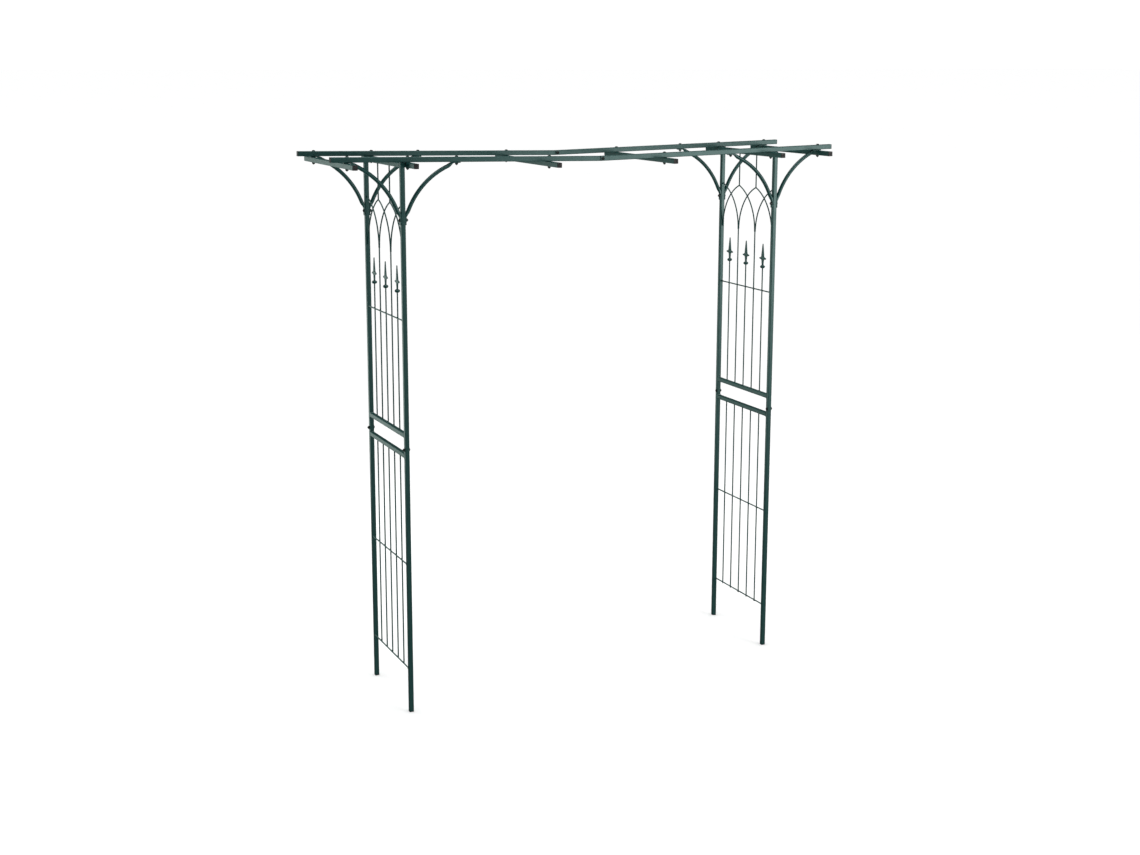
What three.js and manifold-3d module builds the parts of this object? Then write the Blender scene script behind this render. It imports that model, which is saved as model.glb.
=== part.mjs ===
// Flat-topped garden arch of powder-coated steel tube and wire.
// Two trellis side panels, each a lower and an upper section, carry a roof of two long beams,
// six cross bars and eight curved braces. Every joint is a plug-in spigot or a bolt.
//
// Millimetres. +Z is up, X runs along the roof beams, Y runs through the passage.
// The origin is on the ground, at the centre of the four feet.

import * as THREE from 'three';
import { mergeVertices } from 'three/addons/utils/BufferGeometryUtils.js';
import Module from 'manifold-3d';

const wasm = await Module();
wasm.setup();

// ---------------------------------------------------------------- driving dimensions

const POST_SPACING_X = 1516;
const POST_SPACING_Y = 380;
const POST_WIDTH = 16;
const BEAM_WIDTH = 18;
const TUBE_WALL = 1.2;
const TUBE_CORNER = 2;
const GAP = 0.3;
const CUT_OVERLAP = 1;

// Heights above the ground
const SPLICE_Z = 966;
const SPLICE_BOLT_Z = 981;
const LOWER_WIRE_Z = 164;
const MIDDLE_WIRE_Z = 558;
const LOWER_RAIL_Z = 957;
const UPPER_RAIL_Z = 1031;
const UPPER_WIRE_Z = 1443;
const FINIAL_Z = 1532;
const ARCADE_SPRING_Z = 1671;
const ARCADE_APEX_Z = 1844;
const BRACE_BOLT_Z = 1793;
const TOP_RAIL_Z = 1981;
const ROOF_MIDDLE_Z = 1985;

// Post sections plug together on a reduced spigot
const SPIGOT_CLEARANCE = 0.3;
const POST_SPIGOT_LENGTH = 36;
const SHOULDER_DEPTH = 8;
const FOOT_FLANGE = 2;
const FOOT_PLUG_LENGTH = 14;

// Trellis wires
const WIRE_RADIUS = 2.5;
const WIRE_SIDES = 8;
const WIRE_COUNT = 5;
const WIRE_WELD_DEPTH = 0.5;
const WIRE_OVERHANG = 3;
const SPRING_HALF_PITCH = 2.2;
const FINIAL_WIRES = [1, 3, 5];
const ARCADE_WIRES = [2, 4];
const ARCADE_STEPS = 8;

// Spear finials, measured up from the underside of the ball
const FINIAL_THICKNESS = 5;
const FINIAL_SOCKET_DEPTH = 6;
const FINIAL_BALL_SIDES = 10;
const FINIAL_BALL = [[0, 0], [5.9, 0.8], [9.6, 6], [5.9, 11.2], [0, 12]];
const FINIAL_HALF_OUTLINE = [
  [4, 10], [4.6, 14], [6.4, 31], [11.5, 34.6], [23.5, 36.4],
  [23.5, 41.4], [12.5, 44], [9, 46], [8.8, 49], [2, 96.5],
];

// Roof: each half of a beam rises from the middle joint towards its free end
const ROOF_SLOPE = 0.02;
const BEAM_HALF_LENGTH = 1011;
const BEAM_SEAM = 3;
const BEAM_SPIGOT_WIDTH = 12.6;
const BEAM_SPIGOT_LENGTH = 45;
const BEAM_SPLICE_BOLT_X = 10;
const CROSS_BAR_LENGTH = 550;
const INNER_BAR_X = { left: 201, right: 270 };
const POST_BAR_X = 737;

// Curved braces of round tube. Each follows an arc centred below the post bolt's height, straightens
// towards the roof, and is flattened to a tab at both ends.
const BRACE_RUN = { outward: 187, inward: 193 };
const BRACE_RADIUS = { outward: 289, inward: 273 };
const BRACE_ARC_DROP = 71;
const BRACE_ARC_BACKSET = 7.6;
const BRACE_TUBE_RADIUS = 7.1;
const BRACE_TUBE_SIDES = 10;
const BRACE_ARC_POINTS = 7;
const BRACE_STRAIGHT_POINTS = 2;
const BRACE_STEPS = 10;
const BRACE_START_UP = 19;
const BRACE_TAB_CLEARANCE = { outward: 9.6, inward: 7 };
const BRACE_CUT = 400;
const TAB_THICKNESS = 3;
const TAB_WIDTH = 16;
const LOWER_TAB = { below: 17, above: 26 };
const CRIMP = { thickness: 8.5, width: 14.6, from: 8, to: 24 };
const UPPER_TAB = { before: 36, beyond: 13 };

// M6 fasteners
const BOLT_RADIUS = 2.9;
const HOLE_RADIUS = 3.5;
const BOLT_SIDES = 8;
const HEAD_RADIUS = 5.8;
const HEAD_HEIGHT = 3.6;
const HEAD_DOME = [[0, 0], [1, 0], [0.8, 0.65], [0, 1]];
const NUT_SIDES = 6;
const NUT_RADIUS = 5.6;
const NUT_HEIGHT = 5;
const BOLT_END = 2.5;

// Finishes
const POWDER_COAT = { color: 0x2e4a46, roughness: 0.42, metalness: 0.1 };
const BLACK_PLASTIC = { color: 0x1d1a1a, roughness: 0.6, metalness: 0 };
const PLATED_STEEL = { color: 0x222b2a, roughness: 0.38, metalness: 0.7 };

// ---------------------------------------------------------------- derived dimensions

const ROOF_TILT = Math.atan(ROOF_SLOPE);
const POST_X = POST_SPACING_X / 2;
const POST_Y = POST_SPACING_Y / 2;
const POST_HALF = POST_WIDTH / 2;
const BEAM_HALF = BEAM_WIDTH / 2;
const POST_SPIGOT_WIDTH = POST_WIDTH - 2 * (TUBE_WALL + SPIGOT_CLEARANCE);
const CLEAR_SPAN = POST_SPACING_Y - POST_WIDTH;
const WIRE_PITCH = CLEAR_SPAN / (WIRE_COUNT + 1);
const POST_TOP_Z = beamUnderside(POST_X - POST_HALF) - GAP;
const BRACE_BOLT_X = POST_X - POST_HALF - BRACE_RUN.inward;
const OUTER_BAR_X = POST_X + POST_HALF + BRACE_RUN.outward;
const BAR_DROP = BEAM_WIDTH + GAP;
const OUTER_BAR_DROP = BAR_DROP + TAB_THICKNESS + GAP;

function beamUnderside(x) {
  return ROOF_MIDDLE_Z + x * ROOF_SLOPE - BEAM_HALF / Math.cos(ROOF_TILT);
}

// ---------------------------------------------------------------- solids

function toSolid(geometry) {
  geometry.deleteAttribute('normal');
  geometry.deleteAttribute('uv');
  const merged = mergeVertices(geometry);
  const index = merged.index.array;
  const triangles = [];
  for (let i = 0; i < index.length; i += 3) {
    const [a, b, c] = [index[i], index[i + 1], index[i + 2]];
    if (a !== b && b !== c && c !== a) triangles.push(a, b, c);
  }
  return new wasm.Manifold(new wasm.Mesh({
    numProp: 3,
    vertProperties: new Float32Array(merged.attributes.position.array),
    triVerts: new Uint32Array(triangles),
  }));
}

function toGeometry(solid) {
  const { vertProperties, triVerts } = solid.getMesh();
  const geometry = new THREE.BufferGeometry();
  geometry.setAttribute('position', new THREE.BufferAttribute(vertProperties, 3));
  geometry.setIndex(new THREE.BufferAttribute(triVerts, 1));
  geometry.computeVertexNormals();
  return geometry;
}

function join(solids) {
  return solids.reduce((whole, piece) => whole.add(piece));
}

// Turns something made along +Z to lie along +X or +Y.
function alongX(geometry) {
  return geometry.rotateY(Math.PI / 2);
}

function alongY(geometry) {
  return geometry.rotateX(-Math.PI / 2);
}

function squareOutline(width, corner) {
  const half = width / 2;
  const inner = half - corner;
  const shape = new THREE.Shape();
  shape.moveTo(half, -inner);
  shape.lineTo(half, inner);
  shape.lineTo(inner, half);
  shape.lineTo(-inner, half);
  shape.lineTo(-half, inner);
  shape.lineTo(-half, -inner);
  shape.lineTo(-inner, -half);
  shape.lineTo(inner, -half);
  shape.closePath();
  return shape;
}

// A square bar with chamfered edges, from z = from to z = to.
function squareBar(width, from, to) {
  const options = { depth: to - from, bevelEnabled: false };
  return new THREE.ExtrudeGeometry(squareOutline(width, TUBE_CORNER), options).translate(0, 0, from);
}

// The bore of a square tube: a bar with sharp edges.
function squareBore(width, from, to) {
  return new THREE.BoxGeometry(width, width, to - from).translate(0, 0, (from + to) / 2);
}

// A round bar along Z, from z = from to z = to.
function rod(radius, sides, from, to) {
  const geometry = new THREE.CylinderGeometry(radius, radius, to - from, sides);
  return geometry.rotateX(Math.PI / 2).translate(0, 0, (from + to) / 2);
}

function boltHole(reach) {
  return rod(HOLE_RADIUS, BOLT_SIDES, -reach, reach);
}

// An open-ended square tube along Z.
function squareTube(width, from, to) {
  const outside = toSolid(squareBar(width, from, to));
  return outside.subtract(toSolid(squareBore(width - 2 * TUBE_WALL, from - CUT_OVERLAP, to + CUT_OVERLAP)));
}

// ---------------------------------------------------------------- fasteners

// A domed bolt with its nut. It clamps a stack of the given thickness centred on z = 0,
// with the head on the +Z side.
function boltAndNut(stack) {
  const top = stack / 2 + GAP;
  const tip = -top - NUT_HEIGHT - BOLT_END;
  const profile = HEAD_DOME.map(([r, h]) => new THREE.Vector2(r * HEAD_RADIUS, h * HEAD_HEIGHT));
  const head = new THREE.LatheGeometry(profile, BOLT_SIDES).rotateX(Math.PI / 2).translate(0, 0, top);
  const nut = rod(NUT_RADIUS, NUT_SIDES, -top - NUT_HEIGHT, -top);
  return join([head, nut, rod(BOLT_RADIUS, BOLT_SIDES, tip, top + CUT_OVERLAP)].map(toSolid));
}

// ---------------------------------------------------------------- side panels

function footCap() {
  const flange = toSolid(squareBar(POST_WIDTH, 0, FOOT_FLANGE));
  const plug = toSolid(squareBar(POST_SPIGOT_WIDTH, CUT_OVERLAP, FOOT_FLANGE + FOOT_PLUG_LENGTH));
  return flange.add(plug);
}

function lowerPost() {
  const bottom = FOOT_FLANGE + GAP;
  const spigotTop = SPLICE_Z + POST_SPIGOT_LENGTH;
  const shoulder = SPLICE_Z - SHOULDER_DEPTH;
  const spigotBore = POST_SPIGOT_WIDTH - 2 * TUBE_WALL;
  const outside = toSolid(squareBar(POST_WIDTH, bottom, SPLICE_Z))
    .add(toSolid(squareBar(POST_SPIGOT_WIDTH, shoulder, spigotTop)));
  const bore = toSolid(squareBore(POST_WIDTH - 2 * TUBE_WALL, bottom - CUT_OVERLAP, shoulder))
    .add(toSolid(squareBore(spigotBore, shoulder - CUT_OVERLAP, spigotTop + CUT_OVERLAP)));
  const hole = toSolid(alongX(boltHole(POST_WIDTH)).translate(0, 0, SPLICE_BOLT_Z));
  return outside.subtract(bore).subtract(hole);
}

function upperPost() {
  let post = squareTube(POST_WIDTH, SPLICE_Z + GAP, POST_TOP_Z);
  for (const height of [SPLICE_BOLT_Z, BRACE_BOLT_Z]) {
    post = post.subtract(toSolid(alongX(boltHole(POST_WIDTH)).translate(0, 0, height)));
  }
  return post;
}

function rail() {
  const half = CLEAR_SPAN / 2 - GAP;
  const cut = half + CUT_OVERLAP;
  const tube = alongY(squareBar(POST_WIDTH, -half, half));
  const bore = alongY(squareBore(POST_WIDTH - 2 * TUBE_WALL, -cut, cut));
  return toSolid(tube).subtract(toSolid(bore));
}

// Trellis wires stand in the plane of the posts, x = 0. Cross wires lie on their outer side.
function uprightWire(number, from, to) {
  return rod(WIRE_RADIUS, WIRE_SIDES, from, to).translate(0, wireY(number), 0);
}

function crossWire(height) {
  const half = CLEAR_SPAN / 2 - GAP;
  const wire = alongY(rod(WIRE_RADIUS, WIRE_SIDES, -half, half));
  return wire.translate(2 * WIRE_RADIUS - WIRE_WELD_DEPTH, 0, height);
}

function wireY(number) {
  return -CLEAR_SPAN / 2 + number * WIRE_PITCH;
}

function lowerLattice() {
  const wires = [crossWire(LOWER_WIRE_Z), crossWire(MIDDLE_WIRE_Z)];
  for (let number = 1; number <= WIRE_COUNT; number += 1) {
    wires.push(uprightWire(number, LOWER_WIRE_Z - WIRE_OVERHANG, LOWER_RAIL_Z - POST_HALF - GAP));
  }
  return join(wires.map(toSolid));
}

// Some wires end inside a finial; the others end under the feet of the arcade.
function upperLattice() {
  const wires = [crossWire(UPPER_WIRE_Z)];
  for (let number = 1; number <= WIRE_COUNT; number += 1) {
    const top = ARCADE_WIRES.includes(number) ? ARCADE_SPRING_Z : FINIAL_Z + FINIAL_SOCKET_DEPTH;
    wires.push(uprightWire(number, UPPER_RAIL_Z + POST_HALF + GAP, top - GAP));
  }
  return join(wires.map(toSolid));
}

// One wire of the arcade: an arc that leaves its spring upright and leans over to its apex.
function arcadeWire(springY, apexY) {
  const rise = ARCADE_APEX_Z - ARCADE_SPRING_Z;
  const run = apexY - springY;
  const radius = (rise * rise + run * run) / (2 * Math.abs(run));
  const sweep = Math.asin(rise / radius);
  const towards = Math.sign(run);
  const points = [];
  for (let step = 0; step <= ARCADE_STEPS; step += 1) {
    const angle = (sweep * step) / ARCADE_STEPS;
    const out = towards * radius * (1 - Math.cos(angle));
    points.push(new THREE.Vector3(0, springY + out, ARCADE_SPRING_Z + radius * Math.sin(angle)));
  }
  const section = new THREE.Shape().absarc(0, 0, WIRE_RADIUS, 0, 2 * Math.PI);
  const extrudePath = new THREE.CatmullRomCurve3(points);
  const options = { extrudePath, steps: ARCADE_STEPS, curveSegments: WIRE_SIDES / 2 };
  return new THREE.ExtrudeGeometry(section, options);
}

// Interlaced pointed arches. They spring beside the posts and, two together, from the top of each
// arcade wire. Each pair meets at an apex, where a short wire carries on to the top rail.
function arcade() {
  const post = CLEAR_SPAN / 2 - WIRE_RADIUS - GAP;
  const [near, far] = ARCADE_WIRES.map(wireY);
  const arcs = [
    arcadeWire(-post, near),
    arcadeWire(near - SPRING_HALF_PITCH, -post),
    arcadeWire(near + SPRING_HALF_PITCH, far),
    arcadeWire(far - SPRING_HALF_PITCH, near),
    arcadeWire(far + SPRING_HALF_PITCH, post),
    arcadeWire(post, far),
  ];
  const stubs = ARCADE_WIRES.map((number) => (
    uprightWire(number, ARCADE_APEX_Z - WIRE_OVERHANG, TOP_RAIL_Z - POST_HALF - GAP)
  ));
  return join([...arcs, ...stubs].map(toSolid));
}

// A flat cast spear with a cross-guard, on a ball that is socketed for the wire.
function finial() {
  const left = FINIAL_HALF_OUTLINE.map(([across, up]) => new THREE.Vector2(-across, up)).reverse();
  const right = FINIAL_HALF_OUTLINE.map(([across, up]) => new THREE.Vector2(across, up));
  const options = { depth: FINIAL_THICKNESS, bevelEnabled: false };
  const spear = new THREE.ExtrudeGeometry(new THREE.Shape([...right, ...left]), options);
  spear.translate(0, 0, -FINIAL_THICKNESS / 2).rotateX(Math.PI / 2).rotateZ(Math.PI / 2);
  const profile = FINIAL_BALL.map(([radius, up]) => new THREE.Vector2(radius, up));
  const ball = new THREE.LatheGeometry(profile, FINIAL_BALL_SIDES).rotateX(Math.PI / 2);
  const socket = rod(WIRE_RADIUS + 2 * GAP, WIRE_SIDES, -CUT_OVERLAP, FINIAL_SOCKET_DEPTH);
  return toSolid(spear).add(toSolid(ball)).subtract(toSolid(socket));
}

// ---------------------------------------------------------------- braces

// A brace's line: x runs away from the post face, z = 0 at the post bolt. The straight part leaves
// the arc so that its underside meets the roof tab's underside at the point called meet.
function braceLine(radius, meet) {
  const centre = { out: radius - BRACE_ARC_BACKSET, up: -BRACE_ARC_DROP };
  const across = centre.out - meet.out;
  const above = meet.up - centre.up;
  const inside = radius - BRACE_TUBE_RADIUS;
  const reach = Math.hypot(across, above);
  const start = Math.acos((BRACE_START_UP - centre.up) / radius);
  const end = Math.atan2(across, above) + Math.acos(inside / reach);
  const points = [];
  for (let point = 0; point <= BRACE_ARC_POINTS; point += 1) {
    const angle = THREE.MathUtils.lerp(start, end, point / BRACE_ARC_POINTS);
    const out = centre.out - radius * Math.sin(angle);
    points.push(new THREE.Vector3(out, 0, centre.up + radius * Math.cos(angle)));
  }
  const bend = points.at(-1);
  const straight = Math.sqrt(reach * reach - inside * inside);
  for (let point = 1; point <= BRACE_STRAIGHT_POINTS; point += 1) {
    const along = (straight * point) / BRACE_STRAIGHT_POINTS;
    points.push(new THREE.Vector3(bend.x + along * Math.cos(end), 0, bend.z + along * Math.sin(end)));
  }
  return new THREE.CatmullRomCurve3(points);
}

// A brace in the same frame. rise is the height of the roof tab's middle, and slope is the roof's
// slope along x. The tube is trimmed flat where it would enter the post or the beam.
function brace(kind, rise, slope) {
  const run = BRACE_RUN[kind];
  const clearance = BRACE_TAB_CLEARANCE[kind];
  const meet = { out: run - clearance, up: rise - clearance * slope - TAB_THICKNESS / 2 };
  const section = new THREE.Shape().absarc(0, 0, BRACE_TUBE_RADIUS, 0, 2 * Math.PI);
  const extrudePath = braceLine(BRACE_RADIUS[kind], meet);
  const options = { extrudePath, steps: BRACE_STEPS, curveSegments: BRACE_TUBE_SIDES / 2 };
  const tube = new THREE.ExtrudeGeometry(section, options);
  const postSide = new THREE.BoxGeometry(BRACE_CUT, BRACE_CUT, BRACE_CUT);
  postSide.translate(GAP - BRACE_CUT / 2, 0, 0);
  const roofSide = new THREE.BoxGeometry(BRACE_CUT, BRACE_CUT, BRACE_CUT);
  roofSide.translate(0, 0, (BRACE_CUT + TAB_THICKNESS) / 2);
  const trimmed = toSolid(tube)
    .subtract(toSolid(postSide))
    .subtract(toSolid(roofSide.rotateY(-Math.atan(slope)).translate(run, 0, rise)));

  const lowerLength = LOWER_TAB.below + LOWER_TAB.above;
  const lowerTab = new THREE.BoxGeometry(TAB_THICKNESS, TAB_WIDTH, lowerLength);
  lowerTab.translate(GAP + TAB_THICKNESS / 2, 0, lowerLength / 2 - LOWER_TAB.below);
  const crimp = new THREE.BoxGeometry(CRIMP.thickness, CRIMP.width, CRIMP.to - CRIMP.from);
  crimp.translate(GAP + CRIMP.thickness / 2, 0, (CRIMP.from + CRIMP.to) / 2);
  const upperLength = UPPER_TAB.before + UPPER_TAB.beyond;
  const upperTab = new THREE.BoxGeometry(upperLength, TAB_WIDTH, TAB_THICKNESS);
  upperTab.translate((UPPER_TAB.beyond - UPPER_TAB.before) / 2, 0, 0);
  upperTab.rotateY(-Math.atan(slope)).translate(run, 0, rise);

  const postHole = toSolid(alongX(boltHole(POST_WIDTH)));
  const roofHole = toSolid(boltHole(POST_WIDTH).translate(run, 0, rise));
  return join([trimmed, toSolid(lowerTab), toSolid(crimp), toSolid(upperTab)])
    .subtract(postHole)
    .subtract(roofHole);
}

// ---------------------------------------------------------------- roof

// Half a beam in the frame of its roof half: x runs outwards from the middle joint.
// The left half ends in a level spigot that plugs into the right half.
function beamHalf(side) {
  const start = BEAM_SEAM / 2;
  const end = BEAM_HALF_LENGTH + CUT_OVERLAP;
  const boreWidth = BEAM_WIDTH - 2 * TUBE_WALL;
  const boltX = side === 'left' ? -BEAM_SPLICE_BOLT_X : BEAM_SPLICE_BOLT_X;
  const boltCut = toSolid(alongY(boltHole(BEAM_WIDTH)).translate(boltX, 0, 0));
  const level = (geometry) => toSolid(alongX(geometry).rotateY(ROOF_TILT));

  let beam = toSolid(alongX(squareBar(BEAM_WIDTH, start, BEAM_HALF_LENGTH)));
  if (side === 'left') {
    const root = SHOULDER_DEPTH + CUT_OVERLAP;
    const tip = -BEAM_SPIGOT_LENGTH;
    const spigotBore = squareBore(BEAM_SPIGOT_WIDTH - 2 * TUBE_WALL, tip - CUT_OVERLAP, root);
    beam = beam
      .add(level(squareBar(BEAM_SPIGOT_WIDTH, tip, root)))
      .subtract(toSolid(alongX(squareBore(boreWidth, SHOULDER_DEPTH, end))))
      .subtract(level(spigotBore));
  } else {
    beam = beam.subtract(toSolid(alongX(squareBore(boreWidth, start - CUT_OVERLAP, end))));
  }
  for (const x of [INNER_BAR_X[side], BRACE_BOLT_X, POST_BAR_X, OUTER_BAR_X]) {
    beam = beam.subtract(toSolid(boltHole(BEAM_WIDTH).translate(x, 0, 0)));
  }
  return beam.subtract(boltCut);
}

function crossBar() {
  const half = CROSS_BAR_LENGTH / 2;
  const cut = half + CUT_OVERLAP;
  const bore = squareBore(BEAM_WIDTH - 2 * TUBE_WALL, -cut, cut);
  let bar = toSolid(alongY(squareBar(BEAM_WIDTH, -half, half))).subtract(toSolid(alongY(bore)));
  for (const y of [-POST_Y, POST_Y]) {
    bar = bar.subtract(toSolid(boltHole(BEAM_WIDTH).translate(0, y, 0)));
  }
  return bar;
}

// ---------------------------------------------------------------- assembly

const arch = new THREE.Group();

function place(parent, name, solid, finish, position = [0, 0, 0]) {
  const mesh = new THREE.Mesh(toGeometry(solid), new THREE.MeshStandardMaterial(finish));
  mesh.name = name;
  mesh.position.set(...position);
  parent.add(mesh);
  return mesh;
}

// Both sides are built alike, with x pointing outwards; the left one is turned half way round.
const SIDES = [
  { side: 'left', turn: Math.PI, sign: -1 },
  { side: 'right', turn: 0, sign: 1 },
];

const outwardRise = beamUnderside(OUTER_BAR_X) - GAP - TAB_THICKNESS / 2 - BRACE_BOLT_Z;
const inwardRise = beamUnderside(BRACE_BOLT_X) - GAP - TAB_THICKNESS / 2 - BRACE_BOLT_Z;
const shapes = {
  footCap: footCap(),
  lowerPost: lowerPost(),
  upperPost: upperPost(),
  rail: rail(),
  lowerLattice: lowerLattice(),
  upperLattice: upperLattice(),
  arcade: arcade(),
  finial: finial(),
  outwardBrace: brace('outward', outwardRise, ROOF_SLOPE),
  inwardBrace: brace('inward', inwardRise, -ROOF_SLOPE),
  beam: { left: beamHalf('left'), right: beamHalf('right') },
  crossBar: crossBar(),
  postSpliceBolt: boltAndNut(POST_WIDTH),
  braceBolt: boltAndNut(POST_WIDTH + 2 * (TAB_THICKNESS + GAP)),
  beamSpliceBolt: boltAndNut(BEAM_WIDTH),
};

// front, middle or back, for a y in a side's own frame
function depthName(y, sign) {
  if (Math.abs(y) < GAP) return 'middle';
  return y * sign < 0 ? 'front' : 'back';
}

function addPanel({ side, turn, sign }) {
  const panel = new THREE.Group();
  panel.position.x = sign * POST_X;
  panel.rotation.z = turn;
  arch.add(panel);

  for (const y of [-POST_Y, POST_Y]) {
    const where = `${depthName(y, sign)}_${side}`;
    place(panel, `foot_cap_${where}`, shapes.footCap, BLACK_PLASTIC, [0, y, 0]);
    place(panel, `lower_post_${where}`, shapes.lowerPost, POWDER_COAT, [0, y, 0]);
    place(panel, `upper_post_${where}`, shapes.upperPost, POWDER_COAT, [0, y, 0]);
    place(panel, `outward_brace_${where}`, shapes.outwardBrace, POWDER_COAT, [POST_HALF, y, BRACE_BOLT_Z]);
    const inward = place(
      panel, `inward_brace_${where}`, shapes.inwardBrace, POWDER_COAT, [-POST_HALF, y, BRACE_BOLT_Z],
    );
    inward.rotation.z = Math.PI;
    const bolts = [
      ['post_splice_bolt', shapes.postSpliceBolt, SPLICE_BOLT_Z, -Math.PI / 2],
      ['brace_bolt', shapes.braceBolt, BRACE_BOLT_Z, Math.PI / 2],
    ];
    for (const [name, solid, height, turnY] of bolts) {
      const bolt = place(panel, `${name}_${where}`, solid, PLATED_STEEL, [0, y, height]);
      bolt.rotation.y = turnY;
    }
  }

  place(panel, `lower_panel_rail_${side}`, shapes.rail, POWDER_COAT, [0, 0, LOWER_RAIL_Z]);
  place(panel, `upper_panel_rail_${side}`, shapes.rail, POWDER_COAT, [0, 0, UPPER_RAIL_Z]);
  place(panel, `top_rail_${side}`, shapes.rail, POWDER_COAT, [0, 0, TOP_RAIL_Z]);
  place(panel, `lower_lattice_${side}`, shapes.lowerLattice, POWDER_COAT);
  place(panel, `upper_lattice_${side}`, shapes.upperLattice, POWDER_COAT);
  place(panel, `arcade_${side}`, shapes.arcade, POWDER_COAT);

  for (const number of FINIAL_WIRES) {
    const y = wireY(number);
    place(panel, `finial_${depthName(y, sign)}_${side}`, shapes.finial, POWDER_COAT, [0, y, FINIAL_Z]);
  }
}

function addRoofHalf({ side, turn, sign }) {
  const turned = new THREE.Group();
  turned.rotation.z = turn;
  turned.position.z = ROOF_MIDDLE_Z;
  arch.add(turned);
  const roof = new THREE.Group();
  roof.rotation.y = -ROOF_TILT;
  turned.add(roof);

  for (const y of [-POST_Y, POST_Y]) {
    place(roof, `beam_${depthName(y, sign)}_${side}`, shapes.beam[side], POWDER_COAT, [0, y, 0]);
  }
  const bars = [
    ['inner', INNER_BAR_X[side], BAR_DROP],
    ['post', POST_BAR_X, BAR_DROP],
    ['outer', OUTER_BAR_X, OUTER_BAR_DROP],
  ];
  for (const [name, x, drop] of bars) {
    place(roof, `${name}_cross_bar_${side}`, shapes.crossBar, POWDER_COAT, [x, 0, -drop]);
  }
}

function addBeamSpliceBolts() {
  const height = ROOF_MIDDLE_Z + BEAM_SPLICE_BOLT_X * ROOF_SLOPE;
  for (const y of [-POST_Y, POST_Y]) {
    const name = `beam_splice_bolt_${depthName(y, 1)}`;
    const bolt = place(
      arch, name, shapes.beamSpliceBolt, PLATED_STEEL, [BEAM_SPLICE_BOLT_X, y, height],
    );
    bolt.rotation.x = Math.PI / 2;
  }
}

SIDES.forEach(addPanel);
SIDES.forEach(addRoofHalf);
addBeamSpliceBolts();

export default arch;
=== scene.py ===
import math

import bmesh
import bpy
from mathutils import Matrix, Vector, noise


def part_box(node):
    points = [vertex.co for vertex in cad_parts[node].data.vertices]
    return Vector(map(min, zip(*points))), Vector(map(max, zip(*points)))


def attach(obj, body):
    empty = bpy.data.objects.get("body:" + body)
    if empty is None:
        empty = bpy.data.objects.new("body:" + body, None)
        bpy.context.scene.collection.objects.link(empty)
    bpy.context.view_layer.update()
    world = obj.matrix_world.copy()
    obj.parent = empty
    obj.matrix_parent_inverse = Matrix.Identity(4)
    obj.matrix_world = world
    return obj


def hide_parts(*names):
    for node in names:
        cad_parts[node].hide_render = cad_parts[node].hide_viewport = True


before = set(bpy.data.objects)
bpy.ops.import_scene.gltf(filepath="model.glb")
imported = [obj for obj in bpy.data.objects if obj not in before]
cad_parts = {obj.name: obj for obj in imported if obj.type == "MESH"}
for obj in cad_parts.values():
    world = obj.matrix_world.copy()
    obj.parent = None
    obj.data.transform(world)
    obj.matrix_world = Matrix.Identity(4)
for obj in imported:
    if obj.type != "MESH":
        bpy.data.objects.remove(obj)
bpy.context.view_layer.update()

# The looks of a flat-topped garden arch of powder-coated steel tube and wire, made around its CAD
# frame. Metres, +Z up, +X along the roof beams, +Y through the passage, origin on the ground.
# Every piece is built in place, so its object sits at the origin.

# ---------------------------------------------------------------- dimensions

MM = 0.001
GAP = 0.3 * MM
TUBE_WALL = 1.2 * MM
TUBE_CORNER = 2.2 * MM
TUBE_CORNER_STEPS = 4
BROKEN_EDGE = 0.35 * MM
POST_WIDTH = 16 * MM
BEAM_WIDTH = 18 * MM
POST_SPIGOT_WIDTH = 13 * MM
POST_SPIGOT_LENGTH = 36 * MM
BEAM_SPIGOT_WIDTH = 12.6 * MM
BEAM_SPIGOT_LENGTH = 45 * MM
SPIGOT_ROOT = 8 * MM
BEAM_HALF_LENGTH = 1011 * MM
BEAM_SEAM = 3 * MM
ROOF_TILT = math.atan(0.02)

WIRE_RADIUS = 2.5 * MM
WIRE_SIDES = 16
WIRE_COUNT = 5
WIRE_OVERHANG = 3 * MM
WIRE_OVERLAP = 0.5 * MM
LOWER_WIRE_Z = 164 * MM
MIDDLE_WIRE_Z = 558 * MM
UPPER_WIRE_Z = 1443 * MM
FINIAL_WIRES = (1, 3, 5)
ARCADE_WIRES = (2, 4)
ARCADE_SPRING_Z = 1671 * MM
ARCADE_APEX_Z = 1844 * MM
ARCADE_STEPS = 22
SPRING_HALF_PITCH = 2.2 * MM
FINIAL_SOCKET_DEPTH = 6 * MM
FINIAL_SIDES = 32

WELD_REACH = 1.8 * MM
CROSSING_WELD_RADIUS = 1.5 * MM
APEX_WELD_RADIUS = 2.9 * MM
SPRING_WELD_RADIUS = 2.1 * MM
SPRING_WELD_OUT = 1.3 * MM
POST_WELD_RADIUS = 1.6 * MM
POST_WELD_OUT = 1.5 * MM
POST_WELD_UP = 3 * MM
WELD_BLOB_ROWS = 7
WELD_BLOB_SIDES = 12
COLLAR_PROFILE = (
    # spread, height, as shares of the weld's reach
    (1.0, -0.15), (0.94, 0.1), (0.45, 0.35), (0.15, 0.7), (0.0, 1.0),
)
RAIL_WELD_PROFILE = (
    # spread as a share of the widest, height in millimetres
    (1.0, -0.2), (0.95, 0.3), (0.5, 1.1), (0.2, 1.8), (-0.1, 2.6),
)

BRACE_RUN = {"outward": 187 * MM, "inward": 193 * MM}
BRACE_RADIUS = {"outward": 289 * MM, "inward": 273 * MM}
BRACE_CENTRE_UP = -71 * MM
BRACE_BACKSET = 7.6 * MM
BRACE_TUBE_RADIUS = 7 * MM
BRACE_SIDES = 32
TAB_THICKNESS = 3 * MM
TAB_WIDTH = 16 * MM
ROUND_SECTION = 2
FLAT_SECTION = 7

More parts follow.
